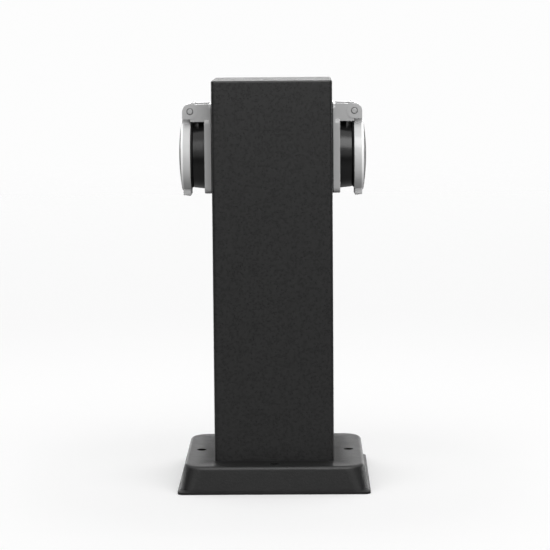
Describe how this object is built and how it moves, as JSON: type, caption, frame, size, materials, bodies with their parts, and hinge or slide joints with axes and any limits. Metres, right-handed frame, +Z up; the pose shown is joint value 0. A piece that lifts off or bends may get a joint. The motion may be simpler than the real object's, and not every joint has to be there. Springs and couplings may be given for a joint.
{
  "type": "outdoor socket post",
  "caption": "Square garden power post on a skirted base, with a round sprung-lid mains socket on each side and a cable gland below.",
  "frame": {"origin": "under the middle of the base, on the surface that it stands on", "axes": "+Z up, +X to the right-hand socket, +Y to the back"},
  "size_m": [0.128, 0.128, 0.272],
  "materials": {
    "column_coating": "fine textured powder coat, charcoal",
    "base_plastic": "satin charcoal, finely grained",
    "grey_plastic": "satin mid grey",
    "black_plastic": "semi-gloss black",
    "black_rubber": "matt black",
    "steel": "plain stainless or zinc plated",
    "brass": "plain",
    "block_plastic": "natural white",
    "brown_insulation": "brown",
    "blue_insulation": "blue",
    "earth_insulation": "green and yellow"
  },
  "bodies": {
    "post": {"base_plate": "base_plastic", "column": "column_coating", "corner_tabs": "column_coating", "column_screws": "steel", "gland_body": "black_plastic", "gland_seal": "black_rubber", "gland_nut": "black_plastic", "gland_locknut": "black_plastic", "terminal_bracket": "steel", "bracket_screws": "steel", "terminal_block": "block_plastic", "clamp_bars": "brass", "clamp_screws": "steel", "block_screws": "steel", "housing_earth_lug": "brass", "housing_earth_nut": "steel", "housing_earth_wire": "earth_insulation", "right_live_wire": "brown_insulation", "right_neutral_wire": "blue_insulation", "right_earth_wire": "earth_insulation", "right_mounting_gasket": "black_rubber", "right_socket_frame": "grey_plastic", "right_frame_screws": "steel", "right_frame_nuts": "steel", "right_hinge_pin": "steel", "right_lid_spring": "steel", "right_socket_insert": "black_plastic", "right_centre_screw": "steel", "right_earth_bracket": "brass", "right_live_contact": "brass", "right_neutral_contact": "brass", "right_terminal_screws": "steel", "right_contact_carrier": "black_plastic", "left_live_wire": "brown_insulation", "left_neutral_wire": "blue_insulation", "left_earth_wire": "earth_insulation", "left_mounting_gasket": "black_rubber", "left_socket_frame": "grey_plastic", "left_frame_screws": "steel", "left_frame_nuts": "steel", "left_hinge_pin": "steel", "left_lid_spring": "steel", "left_socket_insert": "black_plastic", "left_centre_screw": "steel", "left_earth_bracket": "brass", "left_live_contact": "brass", "left_neutral_contact": "brass", "left_terminal_screws": "steel", "left_contact_carrier": "black_plastic"},
    "right_lid": {"right_lid": "grey_plastic", "right_lid_seal": "black_rubber"},
    "left_lid": {"left_lid": "grey_plastic", "left_lid_seal": "black_rubber"}
  },
  "joints": [
    {"name": "right_lid_hinge", "type": "hinge", "parent": "post", "child": "right_lid", "pos_m": [0.05505, 0, 0.251], "axis": [0, -1, 0], "range_deg": [0, 95], "stiffness_Nm_per_rad": 0.012, "springref_deg": -34.38, "deforming": ["right_lid_spring"]},
    {"name": "left_lid_hinge", "type": "hinge", "parent": "post", "child": "left_lid", "pos_m": [-0.05505, 0, 0.251], "axis": [0, 1, 0], "range_deg": [0, 95], "stiffness_Nm_per_rad": 0.012, "springref_deg": -34.38, "deforming": ["left_lid_spring"]}
  ]
}
